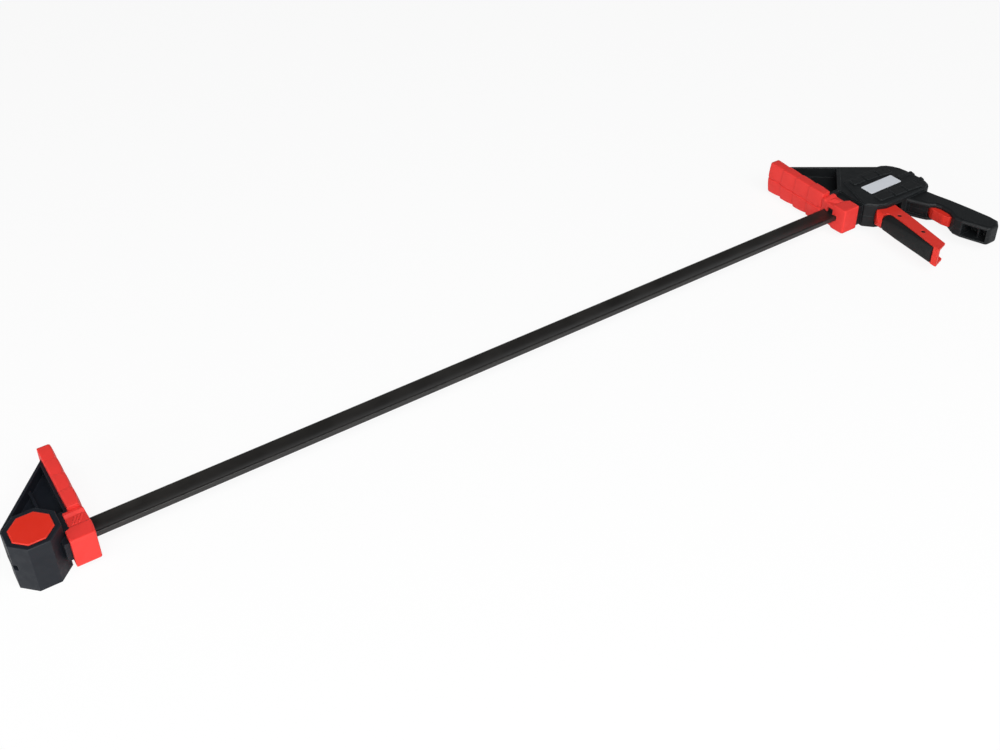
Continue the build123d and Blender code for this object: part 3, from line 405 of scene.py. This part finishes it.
def scale_rows():
    """Where the pad's sections lie from its foot to its tip, and how much each is inset.

    Each scale rises steeply from its foot by the square of what is left, and ends in a quick
    round lip. The section shrinks by a quarter circle at the pad's two ends.
    """
    step = (LONG_TIP - LONG_FOOT) / SCALES
    lip_part = 1 - LIP_SHARE + LIP_SHARE * np.sin(np.radians((0, 25, 45, 60, 75, 86)))
    part = np.concatenate((np.linspace(0, 0.62, 9), (0.72, 0.82, 0.92), lip_part))
    in_lip = np.clip((part - 1 + LIP_SHARE) / LIP_SHARE, 0, 0.9999)
    shrink = LIP * (1 - np.clip(part / 0.8, 0, 1)) ** 2 + 0.9 * LIP * (1 - np.sqrt(1 - in_lip**2))
    y = (LONG_FOOT + step * (np.arange(SCALES)[:, None] + part)).ravel()
    inset = np.tile(shrink, SCALES)
    inset[-6:] = 0
    turn = np.radians(np.linspace(0, 90, 6))
    foot_y = LONG_FOOT + FOOT_ROUND * (1 - np.sin(turn))
    tip_y = LONG_TIP - TIP_ROUND * (1 - np.sin(turn))
    keep = (y > foot_y.max() + 0.1) & (y < tip_y.min() - 0.1)
    foot_inset = LIP + 0.8 * (1 - np.cos(turn))[::-1]
    inset = np.concatenate((foot_inset, inset[keep], TIP_DROP * (1 - np.cos(turn))))
    y = np.concatenate((foot_y[::-1], y[keep], tip_y))
    order = np.argsort(y, kind="stable")
    return y[order], inset[order]


def long_pad(back, facing):
    """Rings across the pad, from its foot to its tip.

    Each ring is a section: pocket, back, rounded corners, side, and a face whose depth is its
    edge plus the crown times one less the square of the width, with a V groove in the middle.
    """
    y, inset = scale_rows()
    ends = np.array((POCKET_FOOT, POCKET_FOOT, POCKET_TIP, POCKET_TIP))
    at = np.searchsorted(y, ends)
    inset = np.insert(inset, at, np.interp(ends, y, inset))
    y = np.insert(y, at, ends)
    index = np.arange(len(y))
    inside = (index > np.flatnonzero(y == POCKET_FOOT)[0]) & (index < np.flatnonzero(y == POCKET_TIP)[1])
    pocket = np.where(inside, POCKET_DEPTH, 0.03)[:, None]
    inset = inset[:, None]
    rim = np.minimum(np.minimum(y - LONG_FOOT, LONG_TIP - y) / BACK_ROUND, 1)[:, None]
    back_inset = 0.6 * (1 - np.sqrt(1 - (1 - np.clip(rim, 0, 1)) ** 2))
    half, edge = LONG_HALF - 0.75 * inset, LONG_EDGE - inset
    flat = np.ones_like(half)

    arc = np.radians(np.linspace(0, 90, 4))
    corner = np.radians(np.linspace(0, 78, 6))
    floor_z = flat * np.linspace(0, POCKET_HALF, 4)
    floor_d = pocket * np.ones(4)
    web_z = flat * (POCKET_HALF, (POCKET_HALF + LONG_HALF) / 2 - 0.5)
    back_z = np.concatenate((web_z, half - BACK_ROUND + BACK_ROUND * np.sin(arc)), 1)
    back_d = np.concatenate((back_inset, back_inset, back_inset + BACK_ROUND * (1 - np.cos(arc))), 1)
    side_z = half * np.ones(4)
    side_d = BACK_ROUND + back_inset + (edge - 2.4 - back_inset) * np.array((0.2, 0.45, 0.7, 0.95))
    turn_z = half - FACE_ROUND * (1 - np.cos(corner))
    turn_d = edge - 1.2 + FACE_ROUND * np.sin(corner)
    across = np.array((0.92, 0.8, 0.65, 0.5, 0.35, 0.22, 0.11))
    face_z = half * across
    face_d = edge + LONG_CROWN * (1 - across**2)
    groove_z = flat * (1.5, 0.9, 0.35, 0.0)
    groove_d = edge + LONG_CROWN + np.array((-0.02, -0.55, -1.15, -1.3))
    z = np.concatenate((floor_z, back_z, side_z, turn_z, face_z, groove_z), 1)
    d = np.concatenate((floor_d, back_d, side_d, turn_d, face_d, groove_d), 1)
    z = np.concatenate((z, -z[:, -2:0:-1]), 1)
    d = np.concatenate((d, d[:, -2:0:-1]), 1)
    return np.stack((back + facing * d, np.broadcast_to(y[:, None], d.shape), AXIS_Z + z), -1)


pad_red = moulded(
    "pad_red", colour=(0.78, 0.040, 0.033), worn_and_highlit=(0.92, 0.11, 0.09), depth=0.00003,
    gloss=(0.5, 0.66), radius=0.0005, uneven=0.07, wear_and_highlight=0.35,
)
skin(
    "fixed_long_pad_rubber", [long_pad(FIXED_BACK, 1)], pad_red,
    "clamp_frame", "fixed_long_pad",
)
skin(
    "sliding_long_pad_rubber", [long_pad(SLIDING_BACK, -1)], pad_red,
    "sliding_jaw", "sliding_long_pad",
)

# ---- Bar pads ----
# A second red rubber moulding slips over each jaw's nose, around the bar. A shallow saddle crosses
# each of its sides, with three short slanting ribs in it.
BLOCK_HALF, BLOCK_HIGH, BLOCK_LOW = 15.9, 15.2, -22.5
BLOCK_FRONT, BLOCK_CROWN, BLOCK_BACK, BLOCK_WAIST = 12.7, 1.2, -9.7, -5.4
BLOCK_ROUND, BLOCK_BACK_ROUND = 1.6, 0.8
NOSE_END, NOSE_WIDE, NOSE_HALF = 3.5, 13.6, 6.1
SADDLE_HALF, SADDLE_LOW, SADDLE_HIGH = 13.9, -2.2, 8.2
RIB_HEIGHT, RIB_FIRST, RIB_PITCH, RIB_SLANT, RIB_LAST = 0.8, 1.2, 3.1, 0.65, 2


def eased(share):
    """A smooth step from 0 to 1: three times the square less twice the cube."""
    share = np.clip(share, 0, 1)
    return share * share * (3 - 2 * share)


def by_angle(outline, angle):
    """An outline's distance from the bar's axis at each angle, read off its finely divided sides."""
    outline = np.array(outline, float)
    share = np.linspace(0, 1, 400, endpoint=False)[None, :, None]
    fine_points = (outline[:, None] * (1 - share) + np.roll(outline, -1, 0)[:, None] * share).reshape(-1, 2)
    at = np.arctan2(fine_points[:, 1], fine_points[:, 0])
    return np.interp(angle, at, np.hypot(*fine_points.T), period=2 * np.pi)


def mirrored(upper):
    """A closed outline from its upper half; the points on the axis aren't repeated."""
    return upper + [(y, -z) for y, z in upper[::-1] if z]


def face_depth(yz):
    """The crowned face: its edge plus the crown times one less the square of the height."""
    return BLOCK_FRONT + BLOCK_CROWN * (1 - ((yz[:, 0] + 3.6) / 18.9) ** 2)


def back_depth(yz):
    """The back, which steps from the foot to the waist."""
    return np.interp(yz[:, 0], (-7.5, -6.0), (BLOCK_BACK, BLOCK_WAIST))


def bar_pad(back, facing):
    """Rings around the bar: over the outer side, the face, the bar's way through and the nose's pocket.

    Each outline is a distance from the bar's axis as a function of the angle round it, so every
    ring has its points on the same rays.
    """
    quarter = [(10.9, 0), (10.9, 2.9), (10.3, 3.5), (8.7, 3.5), (6.5, 2.95), (4.3, 2.65), (4.3, 9.3)]
    window = mirrored(quarter + [(-y, z) for y, z in quarter[::-1]])
    outer = mirrored([
        (BLOCK_HIGH, 0), (BLOCK_HIGH, 14.6), (14.8, 15.5), (13.9, BLOCK_HALF), (11.5, BLOCK_HALF),
        (8.5, 14.0), (-3.0, 14.0), (-5.5, BLOCK_HALF), (-20.9, BLOCK_HALF), (-22.0, 15.4), (BLOCK_LOW, 14.3),
    ])
    nose = mirrored([(NOSE_WIDE, NOSE_HALF), (-NOSE_WIDE, NOSE_HALF)])
    corners = np.array(window + outer + nose, float)
    turned = np.unique(np.round(np.arctan2(corners[:, 1], corners[:, 0]) % (2 * np.pi), 3))
    even = np.linspace(0, 2 * np.pi, 260, endpoint=False)
    angle = np.sort(np.concatenate((turned, even[np.abs(even[:, None] - turned).min(1) > 0.006])))
    ray = np.stack((np.cos(angle), np.sin(angle)), -1)
    outer_yz = by_angle(outer, angle)[:, None] * ray
    window_yz = by_angle(window, angle)[:, None] * ray
    pocket_yz = np.maximum(by_angle(nose, angle), by_angle(window, angle))[:, None] * ray

    rings = []

    def ring(yz, depth):
        rings.append(np.column_stack((back + facing * depth, yz[:, 0], AXIS_Z + yz[:, 1])))

    start = back_depth(outer_yz) + BLOCK_BACK_ROUND
    finish = face_depth(outer_yz) - BLOCK_ROUND
    between = eased(outer_yz[:, 0] - SADDLE_LOW) * eased(SADDLE_HIGH - outer_yz[:, 0])
    in_saddle = (np.abs(outer_yz[:, 1]) > SADDLE_HALF) * between
    for share in np.linspace(0, 1, 80):
        depth = start + (finish - start) * share
        past = depth - RIB_SLANT * (outer_yz[:, 0] - 3) - RIB_FIRST
        nearest = past - RIB_PITCH * np.clip(np.round(past / RIB_PITCH), 0, RIB_LAST)
        rib = RIB_HEIGHT * in_saddle * eased(1.15 - np.abs(nearest) / 0.8)
        ring(outer_yz + ray * rib[:, None], depth)
    for turn in np.radians((15, 30, 45, 60, 75, 90)):
        inner = outer_yz - BLOCK_ROUND * (1 - np.cos(turn)) * ray
        ring(inner, face_depth(inner) - BLOCK_ROUND * (1 - np.sin(turn)))
    for share in (0.25, 0.5, 0.75, 0.93, 1.0):
        mid_yz = inner * (1 - share) + window_yz * share
        ring(mid_yz, face_depth(mid_yz))
    ring(window_yz, np.full(len(angle), NOSE_END))
    ring(pocket_yz, np.full(len(angle), NOSE_END))
    for share in (0, 0.2, 0.4, 0.6, 0.8, 1.0):
        mid_yz = pocket_yz * (1 - share) + (outer_yz - BLOCK_BACK_ROUND * ray) * share
        ring(mid_yz, back_depth(mid_yz))
    for turn in np.radians((60, 30)):
        inner = outer_yz - BLOCK_BACK_ROUND * (1 - np.cos(turn)) * ray
        ring(inner, back_depth(outer_yz) + BLOCK_BACK_ROUND * (1 - np.sin(turn)))
    rings.append(rings[0])
    return np.array(rings)


skin(
    "fixed_bar_pad_rubber", [bar_pad(FIXED_BACK, 1)], pad_red,
    "clamp_frame", "fixed_bar_pad",
)
skin(
    "sliding_bar_pad_rubber", [bar_pad(SLIDING_BACK, -1)], pad_red,
    "sliding_jaw", "sliding_bar_pad",
)

# ---- Sliding jaw's shells ----
# Two half shells moulded in the same nylon make the arm, the body and the handle. Six blackened
# screws with hexagon sockets go in from the lower side and hold them together.
shell_nylon = moulded(
    "shell_nylon", colour=(0.0070, 0.0082, 0.0092), worn_and_highlit=(0.045, 0.052, 0.056), depth=NYLON_GRAIN,
    gloss=(0.44, 0.58), radius=0.0008, wear_and_highlight=0.7,
)
dress(shell_nylon, "jaw_shell_upper", "jaw_shell_lower")
screw_steel = steel(
    "screw_steel", dark=(0.03, 0.03, 0.032), light=(0.07, 0.07, 0.073), worn_and_highlit=(0.3, 0.3, 0.31),
    gloss=(0.3, 0.45), stretch=1.0, fine=2500.0,
)
dress(screw_steel, "shell_screws")

# ---- Label plate ----
# A thin pale foil with nothing printed on it, glued into its recess in the upper shell. It is
# smoother and glossier than the plastic round it.
foil = moulded(
    "label_foil", colour=(0.74, 0.77, 0.82), worn_and_highlit=(0.8, 0.82, 0.86), depth=0.000004,
    gloss=(0.28, 0.4), radius=0.0003, grain=900.0, uneven=0.05, wear_and_highlight=0.3, specular=0.5,
)
dress(foil, "label_plate")

# ---- Drive plates and spring ----
# Three stamped and hardened steel plates around the bar. The trigger's cam pushes them along it,
# and an oiled coil spring pushes them back.
stamped = steel(
    "stamped_plate", dark=(0.3, 0.3, 0.31), light=(0.44, 0.44, 0.45), worn_and_highlit=(0.6, 0.6, 0.61),
    gloss=(0.26, 0.42), stretch=1.0, fine=2200.0,
)
dress(stamped, "drive_plate_1", "drive_plate_2", "drive_plate_3")
oiled_wire = steel(
    "oiled_wire", dark=(0.14, 0.135, 0.13), light=(0.24, 0.235, 0.23), worn_and_highlit=(0.4, 0.4, 0.4),
    gloss=(0.2, 0.34), stretch=0.3, radius=0.0001,
)
dress(oiled_wire, "drive_spring")

# ---- Brake plates and spring ----
# Two more plates hang from a lug in the body and tilt on the bar, which holds the jaw where it is.
# A second oiled spring behind them keeps them tilted.
dress(stamped, "brake_plate_1", "brake_plate_2")
dress(oiled_wire, "brake_spring")

# ---- Release lever ----
# A flat lever moulded in red plastic, which swings in the handle on a ground steel pin. Its tail
# pushes the brake plates upright, and so frees the jaw.
lever_red = moulded(
    "lever_red", colour=(0.72, 0.030, 0.018), worn_and_highlit=(0.92, 0.12, 0.09), depth=RED_GRAIN,
    gloss=(0.38, 0.52), radius=0.0008, uneven=0.08,
)
dress(lever_red, "release_lever")
dress(ground_pin, "release_pin")

# ---- Trigger ----
# A channel moulded in red plastic, open towards the handle. It swings on a ground steel pin
# through the body.
trigger_red = moulded(
    "trigger_red", colour=(0.74, 0.034, 0.022), worn_and_highlit=(0.92, 0.12, 0.09), depth=RED_GRAIN,
    gloss=(0.38, 0.52), radius=0.0007, uneven=0.08,
)
dress(trigger_red, "trigger_lever")
dress(ground_pin, "trigger_pin")

# ---- Trigger's grip ----
# Soft black rubber moulded on to the trigger's front. It runs through two holes in each flange,
# where it shows as a small round plug.
GRIP_TOP, GRIP_FOOT, GRIP_FOOT_ROUND = -45.45, -123.95, 1.2
ARCH_FOOT = -51  # where the sides start to close in to the arch
PLUG_RADIUS = 2.44
PLUGS = ((40.0, -58.0, 9.95), (35.5, -97.0, 10.95))  # along the bar, from its axis, half length


def grip_rings():
    """Level slices of the grip from its foot to its arched top.

    Each slice is a rounded D: its front lies at the nose plus the sweep times the square of the
    width, and its two corners are rounded as in a superellipse of the eighth power. The slices
    close in to the arch at the top.
    """
    turn = np.radians(np.linspace(0, 90, 7))
    foot_y = GRIP_FOOT + GRIP_FOOT_ROUND * (1 - np.cos(turn))
    arch_y = GRIP_TOP - (50 + GRIP_TOP) * (1 - np.sin(np.radians(np.linspace(8, 90, 12))))
    sides_y = np.linspace(GRIP_FOOT + 2.5, -58, 30)
    y = np.concatenate((foot_y, sides_y, np.linspace(-56.5, -50, 8), arch_y))
    y = np.unique(np.round(y, 4))
    fall = (GRIP_FOOT + GRIP_FOOT_ROUND - y) / GRIP_FOOT_ROUND
    ease = GRIP_FOOT_ROUND * (1 - np.sqrt(np.clip(1 - fall**2, 0, 1)))
    ease = np.where(y < GRIP_FOOT + GRIP_FOOT_ROUND, ease, 0)
    front_y = (-140, -71, -50, -48.2, -46.6, GRIP_TOP)
    front = np.interp(y, front_y, (17.6, 20.0, 21.0, 22.5, 25.2, 29.4)) + ease
    rear_y = (-140, -123.5, -85, -51, -47.4, -46.2, GRIP_TOP)
    rear = np.interp(y, rear_y, (19.2, 21.95, 28.85, 34.9, 33.9, 32.6, 29.6))
    half = np.interp(y, (-147.5, -70, -44), (10.8, 9.8, 8.4)) - ease
    in_arch = ((y - ARCH_FOOT) / (GRIP_TOP - ARCH_FOOT)) ** 2 * (y > ARCH_FOOT)
    half = half * (0.80 + 0.20 * np.sqrt(np.clip(1 - in_arch, 0, 1)))
    swept = np.interp(y, (-124, -92, -71, -52), (3.6, 4.5, 5.8, 8.3))
    share = np.sin(np.radians(np.linspace(-90, 90, 45)))
    z = half[:, None] * share
    nose = front[:, None] + swept[:, None] * (z / 14) ** 2
    nose = np.minimum(nose, rear[:, None])
    x = rear[:, None] - (rear[:, None] - nose) * (1 - share**8) ** 0.125
    flat_z = half[:, None] * np.linspace(0.95, -0.95, 9)
    x = np.concatenate((x, np.broadcast_to(rear[:, None], flat_z.shape)), 1)
    z = np.concatenate((z, flat_z), 1)
    return np.stack((SLIDING_BACK + x, np.broadcast_to(y[:, None], x.shape), AXIS_Z + z), -1)


def plug_rings(x, y, half):
    """A round plug through both flanges: circles whose radius closes in to a slight dome at each end."""
    turn = np.radians(np.arange(0, 360, 15))
    height = np.array((-half, -half + 0.12, -half + 0.4, 0, half - 0.4, half - 0.12, half))
    radius = np.array((1.6, 2.3, PLUG_RADIUS, PLUG_RADIUS, PLUG_RADIUS, 2.3, 1.6))
    ring_x = SLIDING_BACK + x + radius[:, None] * np.cos(turn)
    ring_y = y + radius[:, None] * np.sin(turn)
    return np.stack((ring_x, ring_y, np.broadcast_to(AXIS_Z + height[:, None], ring_x.shape)), -1)


grip_black = moulded(
    "grip_black", colour=(0.0075, 0.0082, 0.0085), worn_and_highlit=(0.022, 0.023, 0.024), depth=0.00007,
    gloss=(0.56, 0.72), radius=0.0005, grain=1300.0, wear_and_highlight=0.3,
)
skin(
    "trigger_grip_rubber", [grip_rings(), *(plug_rings(*plug) for plug in PLUGS)], grip_black,
    "trigger", "trigger_grip",
)
